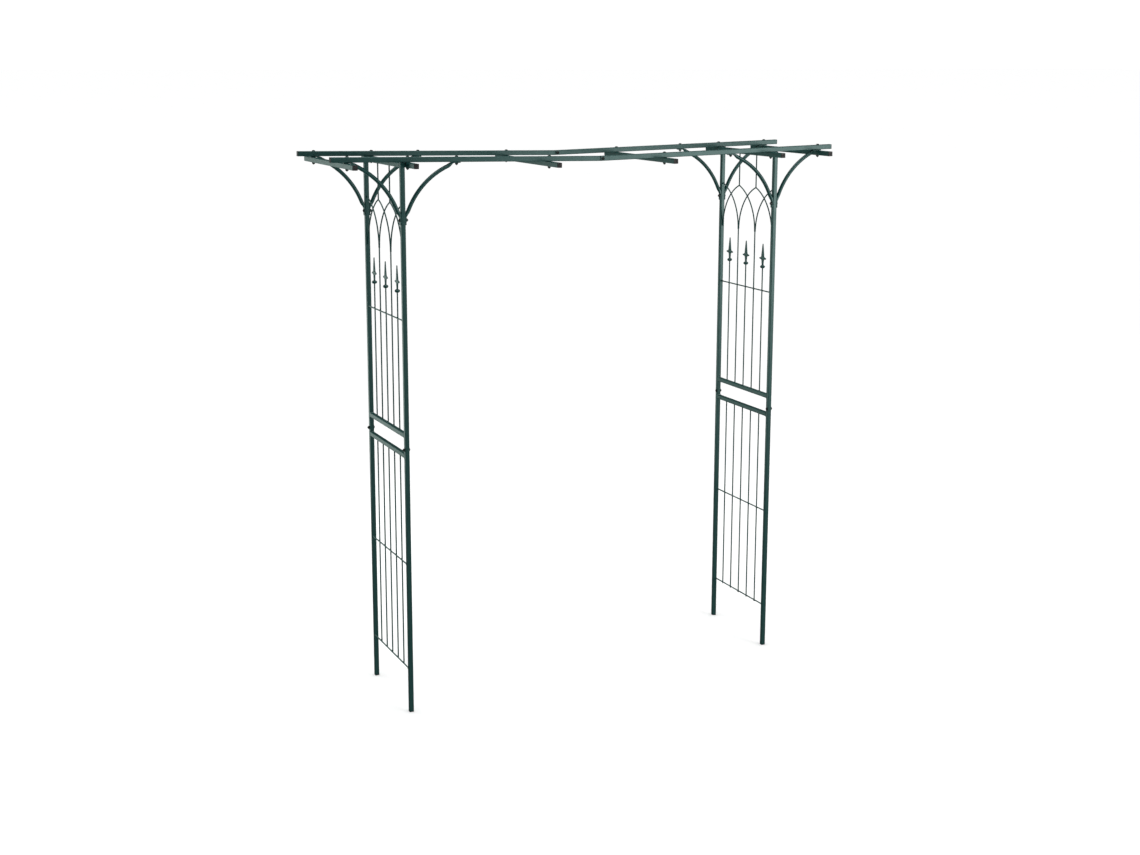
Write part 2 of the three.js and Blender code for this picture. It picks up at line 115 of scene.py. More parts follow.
# Where a brace changes from tab to tube, in whole millimetres along the post from its bolt, or
# back along the beam from its bolt. Both tabs blend into the tube's line and its roundness.
BRACE_STEP = 3
POST_TAB_END = 6
POST_LINE_START = 12
POST_BLEND = 24
POST_ARC_START = 60
BEAM_ARC_END = 70
BEAM_LINE_BLEND = 24
BEAM_BLEND = 22
BEAM_TAB_START = 10
BRACE_ARC_STEPS = 12
POST_TAB_STATIONS = (
    # millimetres above the post bolt, share of the full width
    (-17, 0.6), (-16.2, 0.88), (-14.5, 1), (-8, 1), (0, 1), (POST_TAB_END, 1),
)
BEAM_TAB_STATIONS = (
    # millimetres beyond the beam bolt, share of the full width
    (-7, 1), (0, 1), (7, 1), (10.5, 1), (12.2, 0.88), (13, 0.6),
)

BOLT_RADIUS = 2.9 * MM
BOLT_PITCH = 1 * MM
BOLT_END = 2.5 * MM
HEAD_RADIUS = 5.8 * MM
HEAD_HEIGHT = 3.6 * MM
NUT_RADIUS = 5.8 * MM
NUT_HEIGHT = 5 * MM
WASHER_RADIUS = 6.4 * MM
WASHER_THICKNESS = 0.9 * MM
WASHER_EDGE = 0.25 * MM
SEAT_OVERLAP = 0.05 * MM
SHANK_OVERLAP = 1 * MM
FASTENER_SIDES = 24

CAP_FLANGE = 2 * MM
CAP_PLUG = 14 * MM
CAP_LIP = 0.6 * MM
CAP_RIB_WIDTH = 2.2 * MM

SHARP_ANGLE = math.radians(40)

FLOOR_REACH = 300
FLOOR_DROP = 0.5 * MM
BACKDROP_STRENGTH = 1.05
ROOM_STRENGTH = 0.055
ROOM_COLOUR = (0.97, 0.99, 1.0, 1)
SUN_STRENGTH = 3.6
SUN_ANGLE = math.radians(70)

# The two lamps behind the arch are faintly green, so that the coat's highlights are too.
LAMP_GREEN = (0.84, 1.0, 0.94)
LAMP_WHITE = (1, 1, 1)
SOFTBOXES = (
    # name, place, target, width, height, power, colour
    ("softbox_right", (3.9, -5.4, 1.75), (0, 0, 1.2), 2.8, 2.8, 160, LAMP_WHITE),
    ("softbox_left", (-2.2, 2.6, 1.3), (-0.9, 0, 1.3), 1.2, 2.4, 15, LAMP_GREEN),
    ("softbox_low", (-0.9, 2.6, 0.6), (0.75, 0, 1.2), 1.4, 1.1, 5, LAMP_GREEN),
)

# The camera stands at the photograph's viewing angle.
CAMERA_PLACE = (-2.588, -5.219, 2.342)
CAMERA_YAW = math.radians(26.14)
CAMERA_PITCH = math.radians(10.57)
CAMERA_ROLL = math.radians(-0.14)
CAMERA_LENS = 49.02
CAMERA_SENSOR = 36
CAMERA_SHIFT_Y = -0.07

SIDES = (("left", -1), ("right", 1))
DEPTHS = (("front", -1), ("back", 1))


# ---------------------------------------------------------------- places, from the CAD frame

def middle(node):
    low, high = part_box(node)
    return (low + high) / 2


POST_X = middle("lower_post_front_right").x
POST_Y = middle("lower_post_back_right").y
SPLICE_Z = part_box("upper_post_front_right")[0].z
POST_TOP_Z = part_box("upper_post_front_right")[1].z
BRACE_BOLT_Z = middle("brace_bolt_front_right").z
SPLICE_BOLT = middle("beam_splice_bolt_front")
ROOF_Z = SPLICE_BOLT.z - math.tan(ROOF_TILT) * SPLICE_BOLT.x
CLEAR_SPAN = 2 * POST_Y - POST_WIDTH
WIRE_PITCH = CLEAR_SPAN / (WIRE_COUNT + 1)
BRACE_BOLT_X = POST_X - POST_WIDTH / 2 - BRACE_RUN["inward"]
OUTER_BAR_X = POST_X + POST_WIDTH / 2 + BRACE_RUN["outward"]


def wire_y(number):
    return -CLEAR_SPAN / 2 + number * WIRE_PITCH


def beam_underside(x):
    return ROOF_Z + x * math.tan(ROOF_TILT) - BEAM_WIDTH / 2 / math.cos(ROOF_TILT)


def panel_frame(sign):
    """A side panel's own frame: x points outwards, z is up, and the origin is on the ground."""
    turn = 0 if sign > 0 else math.pi
    return Matrix.Translation((sign * POST_X, 0, 0)) @ Matrix.Rotation(turn, 4, "Z")


def roof_frame(sign):
    """A roof half's own frame: x runs outwards along the beams from the middle joint."""
    turn = 0 if sign > 0 else math.pi
    turned = Matrix.Translation((0, 0, ROOF_Z)) @ Matrix.Rotation(turn, 4, "Z")
    return turned @ Matrix.Rotation(-ROOF_TILT, 4, "Y")


ALONG_X = Matrix.Rotation(math.pi / 2, 4, "Y")
ALONG_Y = Matrix.Rotation(-math.pi / 2, 4, "X")
UPSIDE_DOWN = Matrix.Rotation(math.pi, 4, "X")


def at(x=0.0, y=0.0, z=0.0):
    return Matrix.Translation((x, y, z))


# ---------------------------------------------------------------- mesh tools

class Form:
    """A mesh in the making. Each vertex has a wear value: 1 on an exposed edge, 0 on a face."""

    def __init__(self):
        self.mesh = bmesh.new()
        self.wear = self.mesh.verts.layers.float.new("wear")

    def ring(self, matrix, points):
        made = []
        for x, y, z, wear in points:
            vertex = self.mesh.verts.new(matrix @ Vector((x, y, z)))
            vertex[self.wear] = wear
            made.append(vertex)
        return made

    def bridge(self, first, second):
        for i in range(len(first)):
            j = (i + 1) % len(first)
            self.mesh.faces.new((first[i], first[j], second[j], second[i]))

    def loft(self, matrix, outlines, hollow=False):
        """Joins outlines of equal length into one closed shell, with its ends capped or, where
        hollow, with its last outline joined back to its first."""
        rings = [self.ring(matrix, points) for points in outlines]
        for first, second in zip(rings, rings[1:]):
            self.bridge(first, second)
        if hollow:
            self.bridge(rings[-1], rings[0])
        else:
            self.mesh.faces.new(rings[0][::-1])
            self.mesh.faces.new(rings[-1])


def lerp(start, end, t):
    return start + (end - start) * t


def smooth(t):
    t = min(max(t, 0.0), 1.0)
    return t * t * (3 - 2 * t)


def superellipse(angle, thick, wide, squareness):
    """A point on an outline that is an ellipse at squareness 2 and nears a rectangle above it."""
    c, s = math.cos(angle), math.sin(angle)
    across = math.copysign(abs(c) ** (2 / squareness), c) * thick
    along = math.copysign(abs(s) ** (2 / squareness), s) * wide
    return across, along


def rounded_rectangle(width, depth, radius, z, edge=0.0):
    """Wear is highest in the middle of each rounded corner, and edge adds to it all round."""
    points = []
    for corner, (sx, sy) in enumerate(((1, 1), (-1, 1), (-1, -1), (1, -1))):
        for step in range(TUBE_CORNER_STEPS + 1):
            t = step / TUBE_CORNER_STEPS
            angle = (corner + t) * math.pi / 2
            x = sx * (width / 2 - radius) + radius * math.cos(angle)
            y = sy * (depth / 2 - radius) + radius * math.sin(angle)
            points.append((x, y, z, max(math.sin(t * math.pi), edge)))
    return points


def circle(radius, z, sides, wear=0.0):
    angles = [2 * math.pi * i / sides for i in range(sides)]
    return [(radius * math.cos(a), radius * math.sin(a), z, wear) for a in angles]


def hexagon(radius, z, sides, wear=0.0):
    """A hexagon with as many points as a circle of the same number of sides."""
    points = []
    sector = math.pi / 3
    for i in range(sides):
        angle = 2 * math.pi * i / sides
        reach = radius * math.cos(sector / 2) / math.cos(angle % sector - sector / 2)
        at_corner = 1.0 if i * 6 % sides == 0 else 0.0
        points.append((reach * math.cos(angle), reach * math.sin(angle), z, max(at_corner, wear)))
    return points


def square_tube(form, matrix, width, start, end):
    """An open square tube along z, with its end edges broken."""
    bore = width - 2 * TUBE_WALL
    bore_corner = TUBE_CORNER - TUBE_WALL
    inset = width - 2 * BROKEN_EDGE
    inset_corner = TUBE_CORNER - BROKEN_EDGE
    form.loft(matrix, [
        rounded_rectangle(inset, inset, inset_corner, start, 1),
        rounded_rectangle(width, width, TUBE_CORNER, start + BROKEN_EDGE, 0.6),
        rounded_rectangle(width, width, TUBE_CORNER, start + 4 * BROKEN_EDGE),
        rounded_rectangle(width, width, TUBE_CORNER, end - 4 * BROKEN_EDGE),
        rounded_rectangle(width, width, TUBE_CORNER, end - BROKEN_EDGE, 0.6),
        rounded_rectangle(inset, inset, inset_corner, end, 1),
        rounded_rectangle(bore, bore, bore_corner, end),
        rounded_rectangle(bore, bore, bore_corner, start),
    ], hollow=True)


def lathe(form, matrix, profile, sides):
    """Turns (radius, height) points round z. The ends are closed flat."""
    form.loft(matrix, [circle(radius, z, sides) for radius, z in profile])


def straight_wire(form, matrix, start, end):
    """A round wire along z, with cropped ends that the coating has rounded."""
    r = WIRE_RADIUS
    lathe(form, matrix, [
        (0.72 * r, start), (0.92 * r, start + 0.08 * r), (r, start + 0.3 * r),
        (r, end - 0.3 * r), (0.92 * r, end - 0.08 * r), (0.72 * r, end),
    ], WIRE_SIDES)


def sweep(form, matrix, stations, sides):
    """Lofts a closed form along a flat path in the xz plane. A station is the path's x and z, the
    section's half sizes in the plane and across it, its squareness and its wear."""
    outlines = []
    for index, (x, z, thick, wide, squareness, wear) in enumerate(stations):
        before = stations[max(index - 1, 0)]
        after = stations[min(index + 1, len(stations) - 1)]
        tangent = Vector((after[0] - before[0], 0, after[1] - before[1])).normalized()
        normal = Vector((0, 1, 0)).cross(tangent)
        outline = []
        for i in range(sides):
            u, v = superellipse(2 * math.pi * i / sides, thick, wide, squareness)
            outline.append((x + normal.x * u, v, z + normal.z * u, wear))
        outlines.append(outline)
    form.loft(matrix, outlines)


def weld_blob(form, place, radius):
    """A small uneven bead of weld metal under the coating."""
    outlines = []
    for row in range(WELD_BLOB_ROWS):
        angle = math.pi * (row + 0.5) / WELD_BLOB_ROWS
        level = circle(radius * math.sin(angle), radius * -math.cos(angle), WELD_BLOB_SIDES)
        outline = []
        for x, y, z, wear in level:
            grown = 1 + 0.22 * noise.noise((place + Vector((x, y, z))) * 420)
            outline.append((x * grown, y * grown, z * grown, wear))
        outlines.append(outline)
    form.loft(Matrix.Translation(place), outlines)


def weld_collar(form, matrix):
    """The fillet of weld round a wire where it stands on a face. z leads away from that face."""
    outlines = []
    for spread, height in COLLAR_PROFILE:
        up = height * WELD_REACH
        outline = []
        for x, y, _, wear in circle(1, 0, WIRE_SIDES):
            place = matrix @ Vector((x * WIRE_RADIUS, y * WIRE_RADIUS, up))
            uneven = 1 + 0.35 * noise.noise(place * 260)
            size = WIRE_RADIUS + WELD_REACH * spread * uneven
            outline.append((x * size, y * size, up, wear))
        outlines.append(outline)
    form.loft(matrix, outlines)


def rail_weld(form, matrix):
    """The weld round the end of a rail. z leads away from the post's face."""
    outlines = []
    for spread, height in RAIL_WELD_PROFILE:
        outlines.append([
            (x, y, z, 0.3) for x, y, z, _ in rounded_rectangle(
                POST_WIDTH + 0.5 * MM * spread,
                POST_WIDTH + 2 * (0.3 + 1.6 * spread) * MM,
                TUBE_CORNER,
                height * MM,
            )
        ])
    form.loft(matrix, outlines)


def make_piece(name, form, finish, nodes=()):
    """Turns a form into a piece of the object, standing for the given CAD nodes."""
    bmesh.ops.recalc_face_normals(form.mesh, faces=form.mesh.faces)
    mesh = bpy.data.meshes.new(name)
    form.mesh.to_mesh(mesh)
    form.mesh.free()
    mesh.polygons.foreach_set("use_smooth", [True] * len(mesh.polygons))
    mesh.set_sharp_from_angle(angle=SHARP_ANGLE)
    mesh.materials.append(finish)
    piece = bpy.data.objects.new(name, mesh)
    bpy.context.scene.collection.objects.link(piece)
    weighted = piece.modifiers.new("weighted_normals", "WEIGHTED_NORMAL")
    weighted.keep_sharp = True
    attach(piece, "root")
    if nodes:
        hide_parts(*nodes)


# ---------------------------------------------------------------- materials

class Nodes:
    """Short names for building a material's node tree."""

    def __init__(self, name):
        self.material = bpy.data.materials.new(name)
        self.material.use_nodes = True
        self.tree = self.material.node_tree
        self.shader = self.tree.nodes["Principled BSDF"]
        self.place = self.tree.nodes.new("ShaderNodeTexCoord").outputs["Object"]

    def link(self, output, socket):
        self.tree.links.new(output, socket)

    def noise(self, scale, detail=2.0, roughness=0.5):
        node = self.tree.nodes.new("ShaderNodeTexNoise")
        node.inputs["Scale"].default_value = scale
        node.inputs["Detail"].default_value = detail
        node.inputs["Roughness"].default_value = roughness
        self.link(self.place, node.inputs["Vector"])
        return node.outputs["Fac"]

    def remap(self, value, low, high, to_low=0.0, to_high=1.0):
        node = self.tree.nodes.new("ShaderNodeMapRange")
        node.inputs["From Min"].default_value = low
        node.inputs["From Max"].default_value = high
        node.inputs["To Min"].default_value = to_low
        node.inputs["To Max"].default_value = to_high
        self.link(value, node.inputs["Value"])
        return node.outputs["Result"]

    def math(self, operation, first, second):
        node = self.tree.nodes.new("ShaderNodeMath")
        node.operation = operation
        for socket, value in zip(node.inputs, (first, second)):
            if isinstance(value, (int, float)):
                socket.default_value = value
            else:
                self.link(value, socket)
        return node.outputs["Value"]

    def mix(self, factor, first, second):
        node = self.tree.nodes.new("ShaderNodeMix")
        node.data_type = "RGBA"
        self.link(factor, node.inputs["Factor"])
        colours = [s for s in node.inputs if s.type == "RGBA"]
        for socket, value in zip(colours, (first, second)):
            if isinstance(value, tuple):
                socket.default_value = (*value, 1)
            else:
                self.link(value, socket)
        return [s for s in node.outputs if s.type == "RGBA"][0]

    def attribute(self, name):
        node = self.tree.nodes.new("ShaderNodeAttribute")
        node.attribute_name = name
        return node.outputs["Fac"]

    def bump(self, height, strength, distance, under=None):
        node = self.tree.nodes.new("ShaderNodeBump")
        node.inputs["Strength"].default_value = strength
        node.inputs["Distance"].default_value = distance
        self.link(height, node.inputs["Height"])
        if under is not None:
            self.link(under, node.inputs["Normal"])
        return node.outputs["Normal"]

    def finish(self, colour, roughness, normal, **constants):
        self.link(colour, self.shader.inputs["Base Color"])
        self.link(roughness, self.shader.inputs["Roughness"])
        self.link(normal, self.shader.inputs["Normal"])
        for name, value in constants.items():
            self.shader.inputs[name.replace("_", " ")].default_value = value
        return self.material


def powder_coat():
    """Satin dark green powder coat: orange-peel skin, slight mottling, thinner on the edges."""
    n = Nodes("green_powder_coat")
    broad = n.remap(n.noise(5, 3), 0.3, 0.7)
    mottle = n.remap(n.noise(160, 4, 0.6), 0.3, 0.7)
    coat = n.mix(broad, (0.0060, 0.0370, 0.0340), (0.0080, 0.0440, 0.0400))
    coat = n.mix(n.math("MULTIPLY", mottle, 0.3), coat, (0.0105, 0.0520, 0.0475))
    patches = n.remap(n.noise(55, 5, 0.65), 0.46, 0.66)
    patches = n.math("ADD", n.math("MULTIPLY", patches, 0.5), 0.2)
    thin = n.math("MULTIPLY", n.attribute("wear"), patches)
    coat = n.mix(thin, coat, (0.022, 0.078, 0.071))
    rubs = n.remap(n.noise(24, 4, 0.6), 0.3, 0.75, 0.32, 0.37)
    roughness = n.math("ADD", rubs, n.math("MULTIPLY", thin, 0.1))
    peel = n.bump(n.noise(480, 2), 0.05, 0.0002)
    grain = n.bump(n.noise(2200, 2), 0.05, 0.0001, under=peel)
    return n.finish(coat, roughness, grain, Coat_Weight=0.05, Coat_Roughness=0.22, IOR=1.5,
                    Specular_Tint=(0.72, 1.0, 0.95, 1))


def black_plastic():
    """Moulded black plastic with a spark-eroded grain and slightly polished edges."""
    n = Nodes("black_plastic")
    mottle = n.remap(n.noise(70, 4, 0.6), 0.3, 0.7)
    colour = n.mix(mottle, (0.0085, 0.0078, 0.0077), (0.0150, 0.0138, 0.0135))
    patches = n.remap(n.noise(120, 4), 0.4, 0.65, 0.2, 0.8)
    rubbed = n.math("MULTIPLY", n.attribute("wear"), patches)
    colour = n.mix(rubbed, colour, (0.034, 0.031, 0.0305))
    roughness = n.remap(n.noise(90, 3), 0.3, 0.7, 0.48, 0.62)
    roughness = n.math("SUBTRACT", roughness, n.math("MULTIPLY", rubbed, 0.15))
    grain = n.bump(n.noise(1900, 3, 0.7), 0.35, 0.00012)
    return n.finish(colour, roughness, grain, IOR=1.38)


def bolt_steel():
    """Blackened zinc-plated steel, brighter where tools and edges have rubbed it."""
    n = Nodes("bolt_steel")
    mottle = n.remap(n.noise(260, 4, 0.6), 0.3, 0.7)
    colour = n.mix(mottle, (0.008, 0.013, 0.012), (0.017, 0.024, 0.022))
    patches = n.remap(n.noise(330, 4), 0.42, 0.62, 0.1, 0.9)
    rubbed = n.math("MULTIPLY", n.attribute("wear"), patches)
    colour = n.mix(rubbed, colour, (0.060, 0.070, 0.067))
    roughness = n.remap(n.noise(420, 3), 0.3, 0.7, 0.30, 0.46)
    grain = n.bump(n.noise(2400, 3), 0.25, 0.0001)
    return n.finish(colour, roughness, grain, Metallic=0.25, IOR=1.25)


def floor_paint():
    """Pale matt paint, slightly uneven in tone."""
    n = Nodes("studio_floor")
    tone = n.mix(n.noise(0.7, 3), (0.86, 0.86, 0.86), (0.90, 0.90, 0.90))
    roughness = n.remap(n.noise(3, 3), 0.3, 0.7, 0.75, 0.85)
    return n.finish(tone, roughness, n.bump(n.noise(40, 2), 0.05, 0.001), IOR=1.3)


# ---------------------------------------------------------------- fasteners

def washer(form, matrix, start, end):
    lathe(form, matrix, [
        (WASHER_RADIUS - WASHER_EDGE, start), (WASHER_RADIUS, start + WASHER_EDGE),
        (WASHER_RADIUS, end - WASHER_EDGE), (WASHER_RADIUS - WASHER_EDGE, end),
    ], FASTENER_SIDES)


def bolt_head(form, matrix):
    """A button head with a hexagon socket, sitting on z = 0 over a washer."""
    sides = FASTENER_SIDES
    washer(form, matrix, 0, WASHER_THICKNESS)
    foot = WASHER_THICKNESS - SEAT_OVERLAP
    rise = HEAD_HEIGHT - foot
    socket = 0.36 * HEAD_RADIUS
    outlines = [
        circle(HEAD_RADIUS * 0.97, foot, sides),
        circle(HEAD_RADIUS, foot + 0.12 * rise, sides, 0.5),
    ]
    for t in (0.25, 0.45, 0.65):
        angle = t * math.pi / 2
        height = foot + rise * (0.12 + 0.88 * math.sin(angle))
        outlines.append(circle(HEAD_RADIUS * math.cos(angle), height, sides, 0.4))
    outlines.append(circle(socket + 0.5 * MM, HEAD_HEIGHT, sides, 0.8))
    outlines.append(hexagon(socket, HEAD_HEIGHT - 0.15 * MM, sides, 0.8))
    outlines.append(hexagon(socket * 0.96, HEAD_HEIGHT - 0.55 * rise, sides))
    form.loft(matrix, outlines)


def nut_and_thread(form, matrix):
    """A hexagon nut on a washer at z = 0, and the threaded end that stands out of it."""
    sides = FASTENER_SIDES
    washer(form, matrix, 0, WASHER_THICKNESS)
    foot = WASHER_THICKNESS - SEAT_OVERLAP
    chamfer = 0.5 * MM
    form.loft(matrix, [
        circle(NUT_RADIUS * 0.87, foot, sides),
        hexagon(NUT_RADIUS, foot + chamfer, sides, 0.3),
        hexagon(NUT_RADIUS, NUT_HEIGHT - chamfer, sides, 0.3),
        circle(NUT_RADIUS * 0.87, NUT_HEIGHT, sides, 0.7),
        circle(BOLT_RADIUS * 1.12, NUT_HEIGHT, sides),
        circle(BOLT_RADIUS * 0.9, NUT_HEIGHT - chamfer, sides),
    ])
    profile = [(BOLT_RADIUS * 0.84, NUT_HEIGHT - 2 * BOLT_PITCH)]
    turns = round((BOLT_END + BOLT_PITCH) / BOLT_PITCH)
    for turn in range(turns):
        root = NUT_HEIGHT - BOLT_PITCH + turn * BOLT_PITCH
        profile += [(BOLT_RADIUS * 0.84, root), (BOLT_RADIUS, root + 0.5 * BOLT_PITCH)]
    tip = NUT_HEIGHT + BOLT_END
    profile = [point for point in profile if point[1] < tip - 0.3 * MM]
    profile += [(BOLT_RADIUS * 0.8, tip - 0.2 * MM), (BOLT_RADIUS * 0.7, tip)]
    lathe(form, matrix, profile, FASTENER_SIDES)


def shank(form, matrix, low, high):
    lathe(form, matrix, [(BOLT_RADIUS, low), (BOLT_RADIUS, high)], FASTENER_SIDES)


def fastener(form, matrix, top, bottom):
    """A bolt along z whose head sits on z = top and whose nut bears on z = bottom."""
    bolt_head(form, matrix @ at(z=top))
    nut_and_thread(form, matrix @ at(z=bottom) @ UPSIDE_DOWN)
    shank(form, matrix, bottom - SHANK_OVERLAP, top + SHANK_OVERLAP)


# ---------------------------------------------------------------- plastic caps

def cap(form, matrix, width, cross=False):
    """A plug-in end cap, with a raised cross on its face where asked for. z leads out of the tube,
    and the tube ends at z = 0."""
    bore = width - 2 * TUBE_WALL - 2 * GAP
    lip = CAP_LIP
    plug_corner = TUBE_CORNER - TUBE_WALL
    form.loft(matrix, [
        rounded_rectangle(bore - MM, bore - MM, plug_corner, -CAP_PLUG),
        rounded_rectangle(bore, bore, plug_corner, -CAP_PLUG + MM),
        rounded_rectangle(bore, bore, plug_corner, 0),
        rounded_rectangle(width - lip / 2, width - lip / 2, TUBE_CORNER, 0, 0.3),
        rounded_rectangle(width, width, TUBE_CORNER, lip / 2, 0.5),
        rounded_rectangle(width, width, TUBE_CORNER, CAP_FLANGE - lip, 1),
        rounded_rectangle(width - lip, width - lip, TUBE_CORNER - lip / 3, CAP_FLANGE - lip / 4, 1),
        rounded_rectangle(width - 2.4 * lip, width - 2.4 * lip, TUBE_CORNER - lip, CAP_FLANGE),
    ])
    if cross:
        rib_length = width - 5 * lip
        for turn in (0, math.pi / 2):
            rib = matrix @ Matrix.Rotation(turn, 4, "Z")
            form.loft(rib, [
                rounded_rectangle(rib_length, CAP_RIB_WIDTH, 0.6 * MM, CAP_FLANGE - 0.2 * MM, 1),
                rounded_rectangle(rib_length, CAP_RIB_WIDTH, 0.6 * MM, CAP_FLANGE + 0.4 * MM, 1),
                rounded_rectangle(rib_length - MM, 1.4 * MM, 0.5 * MM, CAP_FLANGE + 0.7 * MM, 1),
            ])


# ---------------------------------------------------------------- side panels

def lower_post(form, matrix):
    bottom = CAP_FLANGE + GAP
    square_tube(form, matrix, POST_WIDTH, bottom, SPLICE_Z - GAP)
    low, high = SPLICE_Z - SPIGOT_ROOT, SPLICE_Z + POST_SPIGOT_LENGTH
    square_tube(form, matrix, POST_SPIGOT_WIDTH, low, high)


def upper_post(form, matrix):
    square_tube(form, matrix, POST_WIDTH, SPLICE_Z, POST_TOP_Z)


def rail(form, matrix):
    """A rail along z, welded to a post at each end."""
    half = CLEAR_SPAN / 2
    square_tube(form, matrix, POST_WIDTH, -half + GAP, half - GAP)
    rail_weld(form, matrix @ at(z=-half))
    rail_weld(form, matrix @ at(z=half) @ UPSIDE_DOWN)


def cross_wire(form, panel, height):
    """A wire across the panel on the outer side of the upright wires, welded at each crossing."""
    half = CLEAR_SPAN / 2
    place = panel @ at(2 * WIRE_RADIUS - WIRE_OVERLAP, 0, height)
    straight_wire(form, place @ ALONG_Y, -half + GAP, half - GAP)
    for end in (-1, 1):
        turn = Matrix.Rotation(end * math.pi / 2, 4, "X")
        weld_collar(form, place @ at(y=end * half) @ turn)
    for number in range(1, WIRE_COUNT + 1):
        for drop in (-1, 1):
            beside = drop * WIRE_RADIUS * 0.7
            touch = Vector((WIRE_RADIUS * 0.95, wire_y(number) + beside, height - beside))
            weld_blob(form, panel @ touch, CROSSING_WELD_RADIUS)


def upright_wire(form, panel, number, start, end, welded_foot=False, welded_head=False):
    """One of the numbered upright wires, counted from the panel's own -y side."""
    place = panel @ at(y=wire_y(number))
    straight_wire(form, place, start, end)
    if welded_foot:
        weld_collar(form, place @ at(z=start))
    if welded_head:
        weld_collar(form, place @ at(z=end) @ UPSIDE_DOWN)


def lattice(form, panel, side, level):
    """A section's straight wires. In the upper one, every other wire runs up into a finial."""
    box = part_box(f"{level}_lattice_{side}")
    if level == "lower":
        cross_wire(form, panel, LOWER_WIRE_Z)
        cross_wire(form, panel, MIDDLE_WIRE_Z)
        for number in range(1, WIRE_COUNT + 1):
            upright_wire(form, panel, number, box[0].z, box[1].z, welded_head=True)
        return
    cross_wire(form, panel, UPPER_WIRE_Z)
    finial_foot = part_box(f"finial_middle_{side}")[0].z
    for number in range(1, WIRE_COUNT + 1):
        in_socket = number in FINIAL_WIRES
        top = finial_foot + FINIAL_SOCKET_DEPTH - GAP if in_socket else box[1].z
        upright_wire(form, panel, number, box[0].z, top, welded_foot=True)


def arcade_arc(form, panel, spring, apex):
    """One wire of the arcade, from upright at its spring to its apex, bent on one radius."""
    rise = ARCADE_APEX_Z - ARCADE_SPRING_Z
    run = apex - spring
    radius = (rise * rise + run * run) / (2 * abs(run))
    sweep_angle = math.asin(rise / radius)
    stations = []
    for step in range(ARCADE_STEPS + 1):
        angle = sweep_angle * step / ARCADE_STEPS
        across = spring + math.copysign(radius * (1 - math.cos(angle)), run)
        up = ARCADE_SPRING_Z + radius * math.sin(angle)
        stations.append((across, up, WIRE_RADIUS, WIRE_RADIUS, 2, 0))
    sweep(form, panel @ Matrix.Rotation(math.pi / 2, 4, "Z"), stations, WIRE_SIDES)


def arcade(form, panel, side):
    """Interlaced pointed arches. They spring beside the posts and, two together, from the top of
    each arcade wire, and are welded where they meet."""
    post = CLEAR_SPAN / 2 - WIRE_RADIUS - GAP
    pitch = SPRING_HALF_PITCH
    near, far = (wire_y(number) for number in ARCADE_WIRES)
    arcs = (
        (-post, near), (near - pitch, -post), (near + pitch, far),
        (far - pitch, near), (far + pitch, post), (post, far),
    )
    for spring, apex in arcs:
        arcade_arc(form, panel, spring, apex)
        weld_blob(form, panel @ Vector((0, apex, ARCADE_APEX_Z)), APEX_WELD_RADIUS)
    for face in (-1, 1):
        for spring in (near, far):
            weld = Vector((face * SPRING_WELD_OUT, spring, ARCADE_SPRING_Z))
            weld_blob(form, panel @ weld, SPRING_WELD_RADIUS)
        for spring in (-CLEAR_SPAN / 2, CLEAR_SPAN / 2):
            weld = Vector((face * POST_WELD_OUT, spring, ARCADE_SPRING_Z + POST_WELD_UP))
            weld_blob(form, panel @ weld, POST_WELD_RADIUS)
    stub_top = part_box(f"arcade_{side}")[1].z
    for number in ARCADE_WIRES:
        upright_wire(form, panel, number, ARCADE_APEX_Z - WIRE_OVERHANG, stub_top, welded_head=True)


def finial(form, matrix):
    """A flat cast spear on a ball. z is up and the spear lies in the yz plane."""
    ball = (
        # radius, height
        (3.4, 0), (5.7, 0.6), (8.0, 2.2), (9.4, 4.3), (9.7, 6.2), (9.3, 8.2), (7.8, 10.2),
        (5.6, 11.5), (4.4, 12.0), (4.2, 12.6),
    )
    lathe(form, matrix, [(radius * MM, height * MM) for radius, height in ball], FASTENER_SIDES)
    spear = (
        # height, half width, half thickness, squareness
        (11.5, 4.1, 2.8, 3), (14, 4.6, 2.7, 3.5), (22, 5.5, 2.6, 4.5), (30, 6.4, 2.5, 5),
        (33, 8, 2.5, 5), (34.5, 11, 2.5, 5), (35.5, 16.5, 2.4, 5), (36.4, 21.8, 2.3, 4),
        (37.3, 23.5, 2.2, 3.5), (38.9, 24, 2.1, 3), (40.5, 23.5, 2.2, 3.5), (41.4, 21.8, 2.3, 4),
        (42.4, 16.5, 2.4, 5), (43.7, 12.2, 2.5, 5), (45.4, 9.4, 2.5, 5), (47.6, 8.8, 2.5, 5),
        (50.6, 8.4, 2.5, 4.5), (64, 6.5, 2.4, 4), (80, 4.3, 2.2, 3.5), (91.5, 2.6, 2, 3),
        (95.1, 2.1, 1.8, 3), (96.2, 1.6, 1.4, 2.5), (96.5, 0.9, 0.8, 2),
    )
    outlines = []
    for height, wide, thick, squareness in spear:
        outline = []
        for i in range(FINIAL_SIDES):
            angle = 2 * math.pi * i / FINIAL_SIDES
            x, y = superellipse(angle, thick, wide, squareness)
            outline.append((x * MM, y * MM, height * MM, 0.8 * math.sin(2 * angle) ** 2))
        outlines.append(outline)
    form.loft(matrix, outlines)


# ---------------------------------------------------------------- braces

